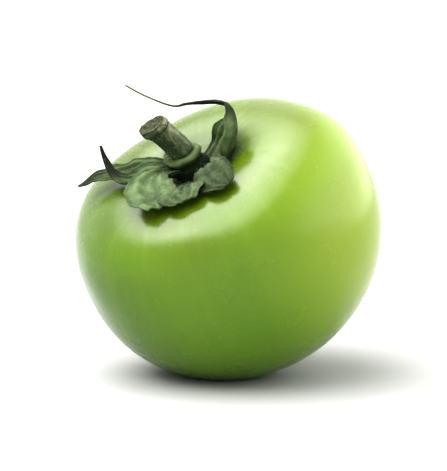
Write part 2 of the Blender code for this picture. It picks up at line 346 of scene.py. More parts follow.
def curve_through(points, steps):
    """A smooth curve through the points, with this many steps from each point to the next."""
    before = points[0] * 2 - points[1]
    after = points[-1] * 2 - points[-2]
    run = [before, *points, after]
    curve = []
    for a, b, c, d in zip(run, run[1:], run[2:], run[3:]):
        for i in range(steps):
            t = i / steps
            bend = (a * 2 - b * 5 + c * 4 - d) * t**2 + (b * 3 - a - c * 3 + d) * t**3
            curve.append(b + ((c - a) * t + bend) / 2)
    return curve + [points[-1]]


def wander(point, size, seed=0.0):
    """Smooth random value from about -1 to 1 that changes over this size."""
    return noise.noise(point / size + Vector((seed, seed * 1.7, seed * 0.6)))


# Meshes

# From the fruit's own frame to the part's: lifted, and leaning
LEAN_AXIS = Vector((-math.sin(LEAN_TOWARDS), math.cos(LEAN_TOWARDS), 0))
STAND = Matrix.Translation((0, 0, WIDEST_RING_ABOVE_REST)) @ Matrix.Rotation(LEAN, 4, LEAN_AXIS)
BACK_TO_FRUIT = STAND.inverted()


class Shape:
    """A mesh in the making, with named values at its points for the materials to read."""

    def __init__(self, *value_names):
        self.mesh = bmesh.new()
        self.layers = {name: self.mesh.verts.layers.float.new(name) for name in value_names}

    def ring(self, points, **values):
        return [self.point(p, **values) for p in points]

    def point(self, place, **values):
        vertex = self.mesh.verts.new(place)
        for name, value in values.items():
            vertex[self.layers[name]] = value
        return vertex

    def sleeve(self, rings):
        """Faces between each ring and the next, all the way round."""
        count = len(rings[0])
        for low, high in zip(rings, rings[1:]):
            for i in range(count):
                j = (i + 1) % count
                self.mesh.faces.new((low[i], low[j], high[j], high[i]))

    def fan(self, ring, point):
        for i in range(len(ring)):
            self.mesh.faces.new((point, ring[i], ring[(i + 1) % len(ring)]))

    def done(self, name, material, smooth_shaded=True, frame=STAND):
        """The finished object, its points moved from this frame to the part's."""
        bmesh.ops.recalc_face_normals(self.mesh, faces=self.mesh.faces)
        bmesh.ops.transform(self.mesh, matrix=frame, verts=self.mesh.verts)
        data = bpy.data.meshes.new(name)
        self.mesh.to_mesh(data)
        self.mesh.free()
        if smooth_shaded:
            data.shade_smooth()
        data.materials.append(material)
        piece = bpy.data.objects.new(name, data)
        bpy.context.scene.collection.objects.link(piece)
        return piece


def even_turns(count):
    """This many angles, evenly spaced round a circle."""
    return [2 * math.pi * i / count for i in range(count)]


def skin_point(azimuth, polar):
    """A point on the skin, at a polar angle from the stem end (0) to the blossom end (pi)."""
    stem_share = (1 + math.cos(polar)) / 2
    squareness = mix(BLOSSOM_END_SQUARENESS, STEM_END_SQUARENESS, stem_share)
    end_reach = mix(BLOSSOM_END_REACH, STEM_END_REACH, smooth(stem_share))
    outward = abs(math.sin(polar) / FRUIT_RADIUS) ** squareness
    upward = abs(math.cos(polar) / end_reach) ** squareness
    reach = (outward + upward) ** (-1 / squareness)
    shoulder = stem_share**2 * math.sin(polar)
    lobes = LOBE_DEPTH * shoulder * math.cos(LOBES * azimuth)
    radius = reach * math.sin(polar) * (1 + lobes + OVALNESS * math.cos(2 * azimuth))
    height = reach * math.cos(polar)
    if height > 0:
        height -= CAVITY_DEPTH * math.exp(-((radius / CAVITY_RADIUS) ** 2))
    else:
        height += BLOSSOM_DIMPLE_DEPTH * math.exp(-((radius / BLOSSOM_DIMPLE_RADIUS) ** 2))
        height -= BLOSSOM_POINT_HEIGHT * math.exp(-((radius / BLOSSOM_POINT_RADIUS) ** 2))
    return Vector((radius * math.cos(azimuth), radius * math.sin(azimuth), height))


def uneven_skin_point(azimuth, polar):
    """A point on the skin with its swells, pressed flat, with a soft rim, where the fruit rests."""
    point = skin_point(azimuth, polar)
    lift = sum(share * wander(point, size, seed) for size, share, seed in SKIN_SWELLS)
    placed = STAND @ (point + point.normalized() * lift * SKIN_UNEVENNESS)
    sunk = (placed.z + math.hypot(placed.z, REST_RIM_SOFTNESS)) / 2
    placed.z = max(sunk - REST_RIM_SOFTNESS**2 / (4 * max(placed.z, REST_RIM_SOFTNESS)), 0.0)
    return BACK_TO_FRUIT @ placed


def make_skin(material):
    shape = Shape("polar")
    turns = even_turns(SKIN_MERIDIANS)
    rings = []
    for i in range(1, SKIN_RINGS):
        polar = math.pi * i / SKIN_RINGS
        points = [uneven_skin_point(turn, polar) for turn in turns]
        rings.append(shape.ring(points, polar=polar / math.pi))
    shape.sleeve(rings)
    shape.fan(rings[0], shape.point(uneven_skin_point(0, 0), polar=0.0))
    shape.fan(rings[-1], shape.point(uneven_skin_point(0, math.pi), polar=1.0))
    return shape.done("fruit_skin", material)


def cavity_height(radius):
    """The height of the cavity's skin at this radius, found by halving the polar angle's range."""
    low, high = 0.0, math.pi / 4
    for _ in range(HALVINGS):
        middle = (low + high) / 2
        if skin_point(0, middle).xy.length < radius:
            low = middle
        else:
            high = middle
    return skin_point(0, low).z


def knob_middle(height):
    """The middle of the knob at this height: it leans over from its foot in the cavity to its collar."""
    foot = cavity_height(0)
    shift = COLLAR_SHIFT * smooth((height - foot) / (COLLAR_TOP - foot))
    return Vector((shift * math.cos(COLLAR_TOWARDS), shift * math.sin(COLLAR_TOWARDS), height))


def make_knob(material):
    """The knob and its collar, round and a little lumpy, with painted shade on its wall under the collar."""
    under = [share * KNOB_RADIUS for share in KNOB_UNDERSIDE_SHARES]
    profile = [(radius, cavity_height(radius) + KNOB_CLEARANCE) for radius in under]
    profile += [(radius, COLLAR_TOP - depth) for radius, depth in KNOB_PROFILE]
    curve = curve_through([Vector((radius, height, 0)) for radius, height in profile], KNOB_STEPS)
    shape = Shape("along", "across", "relief", "dry", "dark")
    rings = []
    for radius, height, _ in curve:
        # Painted shade on the wall under the collar
        dark = 1 - smooth((height - COLLAR_TOP + KNOB_PAINTED_SHADE_BELOW_TOP) / KNOB_PAINTED_SHADE_FADE)
        points = []
        for turn in even_turns(KNOB_SIDES):
            out = Vector((math.cos(turn), math.sin(turn), 0))
            point = knob_middle(height) + out * radius
            lump = KNOB_LUMP_HEIGHT * wander(point, KNOB_LUMP_SIZE, seed=5)
            lump += KNOB_RIB_HEIGHT * math.cos(KNOB_RIBS * turn)
            points.append(point + out * lump)
        rings.append(shape.ring(points, across=0.5, dark=dark))
    shape.sleeve(rings)
    shape.fan(rings[0], shape.point(knob_middle(curve[0].y), across=0.5, dark=1.0))
    shape.fan(rings[-1], shape.point(knob_middle(COLLAR_TOP), across=0.5))
    return shape.done("calyx_knob", material)


def sepal_stations(name):
    """Along the midrib: place, forward, side, upper, width and share of the way, at each station."""
    twist, _, points = SEPALS[name]
    placed = []
    for radius, azimuth, height, width in points:
        turn = math.radians(azimuth)
        placed.append(Vector((radius * math.cos(turn), radius * math.sin(turn), height, width)) * MM)
    curve = curve_through(placed, STATIONS_BETWEEN_POINTS)
    root = math.radians(points[0][1])
    side = Vector((-math.sin(root), math.cos(root), 0))
    stations = []
    for i, here in enumerate(curve):
        share = i / (len(curve) - 1)
        forward = (curve[min(i + 1, len(curve) - 1)] - curve[max(i - 1, 0)]).xyz.normalized()
        side = (side - forward * side.dot(forward)).normalized()
        rolled = Matrix.Rotation(math.radians(twist) * early(share, TWIST_RATE), 3, forward) @ side
        stations.append((here.xyz, forward, rolled, forward.cross(rolled), here.w, share))
    return stations


def blade_relief(number, gone, x, place, blade):
    """How far the dried blade stands off its smooth form: groove, pleats, crumples and curled margins."""
    wide = abs(x)
    side = 1 if x > 0 else -1
    groove = -MIDRIB_GROOVE * math.exp(-((x / MIDRIB_GROOVE_REACH) ** 2))
    bend = PLEAT_BEND * wander(place, PLEAT_BEND_SIZE, number)
    pleats = PLEAT_HEIGHT * math.cos(2 * math.pi * (PLEATS * wide + bend)) * (1 - wide**4)
    fine = FINE_CRUMPLE_SHARE * wander(place, FINE_CRUMPLE_SIZE, number + 4)
    crumples = CRUMPLE * (wander(place, CRUMPLE_SIZE, number) + fine)
    margin = Vector((gone, side * MM, number * MM))
    curl = MARGIN_CURL * wide**4 * (MARGIN_CURL_LEVEL + wander(margin, MARGIN_CURL_SIZE))
    wave = MARGIN_WAVE * wide**3 * math.sin(gone / MARGIN_WAVE_SIZE + number + side)
    return (groove + pleats + crumples + curl + wave) * blade


def blade_reach(number, gone, x, blade):
    """How far the blade's uneven margin reaches here, as a share of its plain width."""
    margin = Vector((gone, (2 if x > 0 else -2) * MM, number * 3 * MM))
    bays = wander(margin, MARGIN_BAY_SIZE)
    nicks = MARGIN_NICK_SHARE * wander(margin, MARGIN_NICK_SIZE)
    return 1 + MARGIN_UNEVENNESS * (bays + nicks) * blade


def sepal_ring(shape, name, number, station, gone, skin_tree):
    """Points round the blade at a station this far along it: across its upper face, then back below."""
    place, forward, side, upper, width, share = station
    root_hollow = SEPAL_ROOT_HOLLOW * (1 - early(share, ROOT_HOLLOW_RATE))
    hollow = SEPALS[name][1] * math.sin(math.pi * share) + root_hollow
    thick = mix(SEPAL_THICKNESS, SEPAL_TIP_THICKNESS, early(share, THINNING_RATE))
    threadlike = late(share, THREAD_THINNING_RATE) * (1 - smooth(width / THREAD_WIDTH))
    width *= mix(1, THREAD_THINNING, threadlike)
    blade = smooth(width / FULL_RELIEF_WIDTH) * early(share, RELIEF_RATE)
    dry = early(share, DRYING_RATE) * (1 - smooth((width - DRIED_WIDTH) / DRIED_FADE))
    # Painted shade down in the cavity; further along, the listed darkness: partly own tone, partly painted
    # light and shade
    cavity_painted_shade_mask = 1 - smooth((place.z - CAVITY_PAINTED_SHADE_UP_TO) / CAVITY_PAINTED_SHADE_FADE)
    cavity_painted_shade, shades = SEPAL_TONE_PAINTED_SHADE_AND_LIGHT[name]
    dark = mix(along(shades, share), cavity_painted_shade, cavity_painted_shade_mask)
    torn = late(share, TORN_TIP_RATE)
    tops, bottoms = [], []
    for k in range(SEPAL_POINTS_ACROSS):
        x = 2 * k / (SEPAL_POINTS_ACROSS - 1) - 1
        reach = blade_reach(number, gone, x, blade)
        middle = place + side * (x * reach * width / 2) + upper * (hollow * width * (x * x - HOLLOW_LEVEL))
        middle += forward * wander(middle, TORN_TIP_SIZE) * TORN_TIP_DEPTH * torn * blade
        relief = blade_relief(number, gone, x, middle, blade)
        middle += upper * relief
        half = thick * mix(1, SEPAL_EDGE_SHARE, x * x) / 2
        tops.append((middle + upper * half, x, relief))
        bottoms.append((middle - upper * half, x, relief))
    return [
        shape.point(clear_of(skin_tree, p), along=share, across=x, relief=relief / MM, dry=dry, dark=dark)
        for p, x, relief in tops + bottoms[::-1]
    ]


def make_sepal(name, number, material, skin_tree):
    """A thin blade, creased as it dried, with uneven margins, resting clear of the skin."""
    shape = Shape("along", "across", "relief", "dry", "dark")
    stations = sepal_stations(name)
    rings = []
    gone = 0.0
    for i, station in enumerate(stations):
        if i:
            gone += (station[0] - stations[i - 1][0]).length
        rings.append(sepal_ring(shape, name, number, station, gone, skin_tree))
    shape.sleeve(rings)
    for loop in (rings[0], rings[-1]):
        last = len(loop) - 1
        for k in range(SEPAL_POINTS_ACROSS - 1):
            shape.mesh.faces.new((loop[k], loop[k + 1], loop[last - 1 - k], loop[last - k]))
    return shape.done("sepal_" + name, material)


def clear_of(skin_tree, point):
    """The point, moved out along the skin's normal where it would come too near the skin."""
    placed = STAND @ point
    nearest, normal, _, _ = skin_tree.find_nearest(placed)
    short = SEPAL_CLEARANCE - (placed - nearest).dot(normal)
    return BACK_TO_FRUIT @ (placed + normal * short) if short > 0 else point


def stub_stations():
    """Along the stub's middle line: place, forward, across, side, radius and share of the way."""
    level = Vector((math.cos(STUB_TOWARDS), math.sin(STUB_TOWARDS), 0))
    side = Vector((-level.y, level.x, 0))
    point = knob_middle(COLLAR_TOP) + Vector((0, 0, FIT_GAP))
    stations = []
    for i in range(STUB_STATIONS + 1):
        share = i / STUB_STATIONS
        tilt = math.radians(along(STUB_TILTS, share)) if i else 0.0
        forward = Vector((0, 0, math.cos(tilt))) + level * math.sin(tilt)
        stations.append((point, forward, side.cross(forward), side, along(STUB_RADII, share), share))
        point = point + forward * (STUB_LENGTH / STUB_STATIONS)
    return stations


def stub_ring(place, forward, across, side, radius, share, ragged_height):
    """Points round the stalk, over its ridges, on the slant that its broken end has."""
    points = []
    for turn in even_turns(STUB_SIDES):
        out = across * math.cos(turn) + side * math.sin(turn)
        ridge = STUB_RIDGE_HEIGHT * math.cos(STUB_RIDGES * turn + STUB_RIDGE_WINDING * share)
        ridge *= early(share, STUB_RIDGE_RATE)
        rough = STUB_ROUGHNESS * wander(place + out * radius, STUB_ROUGHNESS_SIZE, seed=9)
        lift = sum(weight * wander(out * radius, size, seed) for size, weight, seed in RAGGED_FORMS)
        lift *= ragged_height
        lift += STUB_END_SLANT * radius * math.cos(turn) * late(share, 2)
        points.append(place + out * (radius - STUB_RIDGE_HEIGHT + ridge + rough) + forward * lift)
    return points


def make_stub(material):
    """The round ridged stalk, its knuckle, and the ragged hollow end where it broke."""
    shape = Shape("along", "torn", "bleached")
    stations = stub_stations()
    # How much painted light each side of the stalk gets, most on its upper side
    bleached = [
        smooth((PAINTED_LIGHT_FROM_COSINE - math.cos(turn)) / (PAINTED_LIGHT_FROM_COSINE + 1))
        for turn in even_turns(STUB_SIDES)
    ]
    rings = []
    for place, forward, across, side, radius, share in stations:
        radius -= KNUCKLE_LINE_DEPTH * math.exp(-(((share - KNUCKLE_AT) / KNUCKLE_LINE_REACH) ** 2))
        ragged = RAGGED_HEIGHT * smooth((share - RAGGED_FROM) / RAGGED_OVER)
        points = stub_ring(place, forward, across, side, radius, share, ragged)
        rings.append([shape.point(p, along=share, bleached=pale) for p, pale in zip(points, bleached)])
    place, forward, across, side, radius, _ = stations[-1]
    for reach, depth in TORN_END:
        sunk = place - forward * depth * MM
        points = stub_ring(sunk, forward, across, side, radius * reach, 1.0, RAGGED_HEIGHT * reach)
        rings.append(shape.ring(points, along=1.0, torn=1.0 - reach * TORN_LESS_OUTWARD))
    shape.sleeve(rings)
    shape.fan(rings[0], shape.point(stations[0][0], along=0.0, torn=0.0))
    shape.fan(rings[-1], shape.point(place - forward * TORN_MIDDLE_DEPTH * MM, along=1.0, torn=1.0))
    return shape.done("stem_stub", material)


def add_hair(shape, root, direction, length, thickness):
    """One tapering hair, a closed cone whose root is sunk in the surface."""
    side = direction.orthogonal().normalized()
    other = direction.cross(side)
    foot = root - direction * HAIR_SUNK * MM
    corners = [
        shape.point(foot + (side * math.cos(turn) + other * math.sin(turn)) * thickness / 2)
        for turn in even_turns(HAIR_SIDES)
    ]
    tip = shape.point(root + direction * length)
    shape.fan(corners, tip)
    shape.mesh.faces.new(corners)


def surface_points(pieces, count, draw):
    """Random points on the pieces' faces, spread by area, with their normals."""
    faces = [(face.area, piece, face) for piece in pieces for face in piece.data.polygons]
    for _, piece, face in draw.choices(faces, weights=[area for area, _, _ in faces], k=count):
        corners = [piece.data.vertices[index].co for index in face.vertices]
        shares = [draw.random() for _ in corners]
        yield sum((c * s for c, s in zip(corners, shares)), Vector()) / sum(shares), face.normal


def make_hairs(name, pieces, count, material, seed):
    draw = random.Random(seed)
    shape = Shape()
    for root, normal in surface_points(pieces, count, draw):
        stray = Vector((draw.gauss(0, 1), draw.gauss(0, 1), draw.gauss(0, 1))) * HAIR_STRAY
        direction = (normal + stray).normalized()
        length = draw.uniform(*HAIR_LENGTHS) * MM
        add_hair(shape, root, direction, length, draw.uniform(*HAIR_THICKNESSES) * MM)
    return shape.done(name, material, smooth_shaded=False, frame=Matrix())


# Materials


class Nodes:
    """A material's node tree, with short ways to add the nodes used here."""

    def __init__(self, name):
        self.material = bpy.data.materials.new(name)
        self.material.use_nodes = True
        self.tree = self.material.node_tree
        self.shader = self.tree.nodes["Principled BSDF"]

    def add(self, kind, inputs=(), **settings):
        node = self.tree.nodes.new(kind)
        for key, value in settings.items():
            setattr(node, key, value)
        for socket, value in dict(inputs).items():
            self.put(node.inputs[socket], value)
        return node

    def put(self, socket, value):
        if isinstance(value, bpy.types.NodeSocket):
            self.tree.links.new(value, socket)
        else:
            socket.default_value = value

    def value(self, name):
        return self.add("ShaderNodeAttribute", attribute_name=name).outputs["Fac"]

    def place(self):
        """The place in the fruit's own frame."""
        inputs = {
            "Vector": self.add("ShaderNodeTexCoord").outputs["Object"],
            "Location": BACK_TO_FRUIT.to_translation(),
            "Rotation": BACK_TO_FRUIT.to_euler(),
        }
        return self.add("ShaderNodeMapping", inputs).outputs[0]

    def math(self, operation, first, second=0.0, third=0.0, clamp=False):
        node = self.add("ShaderNodeMath", operation=operation, use_clamp=clamp)
        for socket, value in zip(node.inputs, (first, second, third)):
            self.put(socket, value)
        return node.outputs[0]

    def scaled(self, vector, factors):
        node = self.add("ShaderNodeVectorMath", operation="MULTIPLY")
        self.put(node.inputs[0], vector)
        self.put(node.inputs[1], factors)
        return node.outputs[0]

    def noise(self, vector, scale, detail=3.0, roughness=0.5):
        """Smooth noise; its scale is about how many swells there are to a metre."""
        inputs = {"Vector": vector, "Scale": scale, "Detail": detail, "Roughness": roughness}
        return self.add("ShaderNodeTexNoise", inputs).outputs["Fac"]

    def ramp(self, factor, *stops):
        """From value to value, or colour to colour, at the stops (position, value or colour)."""
        node = self.add("ShaderNodeValToRGB", {"Fac": factor})
        elements = node.color_ramp.elements
        while len(elements) < len(stops):
            elements.new(0.5)
        for element, (position, colour) in zip(elements, stops):
            element.position = position
            element.color = (*colour, 1) if isinstance(colour, tuple) else (colour, colour, colour, 1)
        return node.outputs["Color"]

    def mix(self, factor, first, second, blend="MIX"):
        node = self.add("ShaderNodeMix", data_type="RGBA", blend_type=blend)
        sockets = (node.inputs["Factor"], node.inputs[6], node.inputs[7])
        for socket, value in zip(sockets, (factor, first, second)):
            if isinstance(value, tuple):
                value = (*value, 1)
            self.put(socket, value)
        return node.outputs[2]

    def bump(self, height, distance, strength=1.0, under=None):
        node = self.add("ShaderNodeBump", {"Height": height, "Distance": distance, "Strength": strength})
        if under:
            self.put(node.inputs["Normal"], under)
        return node.outputs["Normal"]

    def finish(self, **inputs):
        for name, value in inputs.items():
            self.put(self.shader.inputs[name.replace("_", " ")], value)
        return self.material


# The skin's colours from the stem end (0) to the blossom end (1), darker at the shoulder partly as painted
# shade, and those mixed in, among them painted shade on one side and painted light on the other
SKIN_ALONG = (
    (0.0, (0.05, 0.10, 0.002)),
    (0.2, (0.07, 0.112, 0.003)),
    (0.3, (0.082, 0.125, 0.003)),
    (0.36, (0.11, 0.172, 0.003)),
    (0.45, (0.12, 0.23, 0.003)),
    (0.6, (0.11, 0.225, 0.002)),
    (0.75, (0.11, 0.225, 0.002)),
    (1.0, (0.15, 0.26, 0.02)),
)
SKIN_CLOUD = (0.12, 0.225, 0.004)
SKIN_PAINTED_SHADE_SIDE = (0.055, 0.125, 0.002)
SKIN_PAINTED_LIGHT_SIDE = (0.30, 0.39, 0.02)
SKIN_STREAK = (0.20, 0.29, 0.03)
SKIN_FLECK = (0.24, 0.32, 0.06)

# The corky scars at both ends: their colours, where each fades out from the stem axis, and how unevenly
CORK = ((0.35, (0.10, 0.075, 0.03)), (0.7, (0.27, 0.22, 0.11)))
STEM_SCAR = ((4.6 * MM, 1.0), (5.4 * MM, 0.0))
BLOSSOM_SCAR = ((1.2 * MM, 1.0), (2.2 * MM, 0.0))
SCAR_UNEVENNESS = 1.2 * MM


def skin_colour(nodes, place, polar, x, y, from_axis):
    """Darker at the shoulder, partly painted shade; clouded; greener with painted shade on one side, paler
    with painted light on the other; streaked and flecked.
    """
    # Darker towards the stem end: partly the fruit's own green shoulder, partly painted shade on the shoulder
    body = nodes.ramp(polar, *SKIN_ALONG)
    clouds = nodes.ramp(nodes.noise(place, scale=55, detail=3), (0.38, 0.0), (0.62, 1.0))
    clouds = nodes.math("MULTIPLY", clouds, nodes.ramp(polar, (0.28, 0.25), (0.42, 1.0)))
    body = nodes.mix(clouds, body, SKIN_CLOUD)

    # Painted shade, greener, on the side away from the room's glow; painted light, paler, on the side towards
    # it
    greener = nodes.ramp(nodes.math("MULTIPLY", x, -1 / FRUIT_RADIUS), (0.4, 0.0), (0.9, 0.7))
    body = nodes.mix(greener, body, SKIN_PAINTED_SHADE_SIDE)
    paler = nodes.ramp(nodes.math("MULTIPLY", x, 1 / FRUIT_RADIUS), (0.1, 0.0), (1.0, 0.9))
    paler = nodes.math("MULTIPLY", paler, nodes.ramp(polar, (0.3, 0.3), (0.5, 1.0)))
    body = nodes.mix(paler, body, SKIN_PAINTED_LIGHT_SIDE)

    direction = {
        "X": nodes.math("DIVIDE", x, from_axis),
        "Y": nodes.math("DIVIDE", y, from_axis),
        "Z": nodes.math("MULTIPLY", polar, 0.5),
    }
    streak_place = nodes.add("ShaderNodeCombineXYZ", direction).outputs[0]
    streaks = nodes.ramp(nodes.noise(streak_place, scale=9, detail=4, roughness=0.6), (0.5, 0.0), (0.7, 1.0))
    faded = nodes.math("MULTIPLY", streaks, nodes.ramp(polar, (0.1, 0.7), (0.6, 0.25)))
    body = nodes.mix(nodes.math("MULTIPLY", faded, 0.4), body, SKIN_STREAK)

    spots = nodes.add("ShaderNodeTexVoronoi", {"Vector": place, "Scale": 700.0, "Randomness": 1.0})
    fleck = nodes.math("MULTIPLY", nodes.ramp(spots.outputs["Distance"], (0.1, 1.0), (0.24, 0.0)), 0.22)
    return nodes.mix(fleck, body, SKIN_FLECK)


def skin_material():
    """Waxy green skin, finely grained, and corky round both scars."""
    nodes = Nodes("green_skin")
    place = nodes.place()
    polar = nodes.value("polar")
    x, y, _ = nodes.add("ShaderNodeSeparateXYZ", {"Vector": place}).outputs
    squares = nodes.math("ADD", nodes.math("POWER", x, 2), nodes.math("POWER", y, 2))
    from_axis = nodes.math("SQRT", squares)
    body = skin_colour(nodes, place, polar, x, y, from_axis)

    cork = nodes.noise(place, scale=900, detail=4, roughness=0.6)
    uneven_radius = nodes.math("ADD", from_axis, nodes.math("MULTIPLY", cork, SCAR_UNEVENNESS))
    stem_end = nodes.ramp(polar, (0.4, 1.0), (0.5, 0.0))
    stem_scar = nodes.math("MULTIPLY", nodes.ramp(uneven_radius, *STEM_SCAR), stem_end)
    blossom_end = nodes.ramp(polar, (0.6, 0.0), (0.7, 1.0))
    blossom_scar = nodes.math("MULTIPLY", nodes.ramp(uneven_radius, *BLOSSOM_SCAR), blossom_end)
    scar = nodes.math("MAXIMUM", stem_scar, blossom_scar)
    body = nodes.mix(scar, body, nodes.ramp(cork, *CORK))

    grain = nodes.bump(nodes.noise(place, scale=1500, detail=2), distance=0.03 * MM, strength=0.25)
    grain = nodes.bump(nodes.noise(place, scale=260, detail=2), distance=0.12 * MM, strength=0.3, under=grain)
    grain = nodes.bump(nodes.math("MULTIPLY", scar, cork), distance=0.4 * MM, strength=1.0, under=grain)
    gloss = nodes.ramp(nodes.noise(place, scale=120, detail=3), (0.35, 0.2), (0.7, 0.3))
    gloss = nodes.mix(scar, gloss, (0.75, 0.75, 0.75))
    return nodes.finish(
        Base_Color=body,
        Roughness=gloss,
        Normal=grain,
        Subsurface_Weight=0.12,
        Subsurface_Radius=(0.8, 1.0, 0.25),
        Subsurface_Scale=4 * MM,
        IOR=1.42,
        Coat_Weight=0.42,
        Coat_Roughness=0.22,
    )


# The leaf's mottled colours, those of its relief (painted light on raised places, with hairs and dust, and
# painted shade in creases), veins and dried places, and what its tones, painted shade and painted light mix
# in
LEAF = ((0.3, (0.062, 0.096, 0.034)), (0.5, (0.095, 0.14, 0.055)), (0.7, (0.14, 0.19, 0.09)))
LEAF_PATCH = (0.022, 0.04, 0.01)
LEAF_RAISED_HAIRS_AND_PAINTED_LIGHT = (0.19, 0.255, 0.13)
LEAF_PAINTED_CREASE_SHADE = (0.025, 0.045, 0.015)
LEAF_VEIN = (0.24, 0.33, 0.13)
LEAF_MARGIN = (0.03, 0.04, 0.015)
LEAF_DRIED = (0.02, 0.022, 0.008)
LEAF_TONE_AND_PAINTED_SHADE = (0.10, 0.14, 0.06)
LEAF_TONE_AND_PAINTED_LIGHT = (0.24, 0.31, 0.16)

# The veins are where a sine is near 0: how far its angle goes along a sepal, and from the midrib to a margin
VEIN_ANGLE_ALONG = 60.0
VEIN_ANGLE_ACROSS = 9.0


def leaf_veins(nodes, share, across, mottle):
    """Fine veins, slanted from the midrib, broken up by the mottling."""
    angle_along = nodes.math("MULTIPLY", share, VEIN_ANGLE_ALONG)
    angle = nodes.math("SUBTRACT", angle_along, nodes.math("MULTIPLY", across, VEIN_ANGLE_ACROSS))
    veins = nodes.ramp(nodes.math("ABSOLUTE", nodes.math("SINE", angle)), (0.0, 1.0), (0.22, 0.0))
    midrib = nodes.ramp(across, (0.04, 1.0), (0.12, 0.0))
    broken = nodes.ramp(mottle, (0.4, 0.0), (0.6, 1.0))
    return nodes.math("MULTIPLY", nodes.math("MAXIMUM", veins, midrib), broken)


def sepal_material():
    """Grey-green matt leaf: pale veins, painted shade in its creases, dark margins, drying brown towards the
    tip.
    """
    nodes = Nodes("sepal_leaf")
    place = nodes.place()
    share = nodes.value("along")
    across = nodes.math("ABSOLUTE", nodes.value("across"))
    mottle = nodes.noise(place, scale=420, detail=4, roughness=0.6)
    body = nodes.ramp(mottle, *LEAF)
    patches = nodes.ramp(nodes.noise(place, scale=230, detail=3), (0.5, 0.0), (0.66, 0.65))
    body = nodes.mix(patches, body, LEAF_PATCH)
    relief = nodes.value("relief")
    # Lighter on raised places, partly pale hairs and dust, partly painted light; painted shade in the creases
    body = nodes.mix(nodes.ramp(relief, (0.05, 0.0), (0.4, 0.4)), body, LEAF_RAISED_HAIRS_AND_PAINTED_LIGHT)
    creases = nodes.ramp(nodes.math("MULTIPLY", relief, -1.0), (0.0, 0.0), (0.3, 0.6))
    body = nodes.mix(creases, body, LEAF_PAINTED_CREASE_SHADE)
    vein = leaf_veins(nodes, share, across, mottle)
    body = nodes.mix(nodes.math("MULTIPLY", vein, 0.25), body, LEAF_VEIN)

    margin = nodes.math("ADD", across, nodes.math("MULTIPLY", mottle, 0.2))
    margin = nodes.ramp(margin, (0.95, 0.0), (1.08, 1.0))
    dry = nodes.math("ADD", nodes.value("dry"), nodes.math("MULTIPLY", mottle, 0.3))
    dry = nodes.ramp(dry, (0.25, 0.0), (0.9, 0.9))
    body = nodes.mix(nodes.math("MULTIPLY", margin, 0.5), body, LEAF_MARGIN)
    body = nodes.mix(dry, body, LEAF_DRIED)
    # Own tones, with painted shade under the collar, in the cavity and on some sepals, painted light on
    # others
    body = nodes.mix(nodes.value("dark"), body, LEAF_TONE_AND_PAINTED_SHADE, "MULTIPLY")
    pale = nodes.math("MULTIPLY", nodes.value("dark"), -0.6, clamp=True)
    body = nodes.mix(pale, body, LEAF_TONE_AND_PAINTED_LIGHT)

    grain = nodes.bump(mottle, distance=0.2 * MM, strength=0.6)
    grain = nodes.bump(vein, distance=0.2 * MM, strength=0.5, under=grain)
    fine = nodes.noise(place, scale=2600, detail=3)
    grain = nodes.bump(fine, distance=0.06 * MM, strength=0.6, under=grain)
    return nodes.finish(
        Base_Color=body,
        Roughness=nodes.ramp(mottle, (0.3, 0.55), (0.7, 0.8)),
        Normal=grain,
        Subsurface_Weight=0.05,
        Subsurface_Radius=(0.5, 1.0, 0.2),
        Subsurface_Scale=1 * MM,
        Specular_IOR_Level=0.2,
        Sheen_Weight=0.08,
        Sheen_Roughness=0.4,
    )


# The stalk's colours along its fibres, green and with painted light on its upper side, and those of its torn
# pith
STALK = ((0.32, (0.012, 0.024, 0.006)), (0.5, (0.032, 0.055, 0.015)), (0.7, (0.09, 0.115, 0.045)))
STALK_PAINTED_LIGHT = ((0.32, (0.08, 0.095, 0.045)), (0.5, (0.19, 0.205, 0.11)), (0.7, (0.35, 0.355, 0.22)))
STALK_PATCH = (0.02, 0.04, 0.012)
STALK_DARK = (0.02, 0.018, 0.008)
PITH = ((0.4, (0.018, 0.02, 0.006)), (0.7, (0.085, 0.09, 0.03)))


def stub_material():
    """Drying stalk: dark green below, painted light above, darkest at its knuckle's line and its torn end."""
    nodes = Nodes("dry_stem")
    place = nodes.place()
    share = nodes.value("along")
    torn = nodes.value("torn")
    fibres = nodes.noise(nodes.scaled(place, (1.0, 1.0, 0.22)), scale=1500, detail=4, roughness=0.65)
    patches = nodes.noise(place, scale=420, detail=3)
    body = nodes.ramp(fibres, *STALK)
    body = nodes.mix(nodes.ramp(patches, (0.45, 0.0), (0.65, 0.7)), body, STALK_PATCH)
    # Painted light on the stalk's upper side, more of it towards the end
    painted_light_on_top = nodes.ramp(nodes.value("bleached"), (0.6, 0.0), (1.0, 0.85))
    painted_light_on_top = nodes.math("MULTIPLY", painted_light_on_top, nodes.ramp(share, (0.0, 0.3), (0.6, 1.0)))
    body = nodes.mix(painted_light_on_top, body, nodes.ramp(fibres, *STALK_PAINTED_LIGHT))
    from_knuckle = nodes.math("ABSOLUTE", nodes.math("SUBTRACT", share, KNUCKLE_AT))
    knuckle = nodes.ramp(from_knuckle, (0.01, 0.8), (0.05, 0.0))
    end = nodes.ramp(share, (RAGGED_FROM, 0.0), (1.0, 0.8))
    body = nodes.mix(nodes.math("MAXIMUM", knuckle, end), body, STALK_DARK)
    pith = nodes.ramp(nodes.noise(place, scale=2200, detail=3), *PITH)
    body = nodes.mix(nodes.ramp(torn, (0.3, 0.0), (0.6, 1.0)), body, pith)
    relief = nodes.bump(fibres, distance=0.2 * MM, strength=0.7)
    relief = nodes.bump(patches, distance=0.2 * MM, strength=0.4, under=relief)
    return nodes.finish(
        Base_Color=body,
        Roughness=0.75,
        Normal=relief,
        Specular_IOR_Level=0.35,
        Sheen_Weight=0.1,
        Sheen_Roughness=0.5,
    )


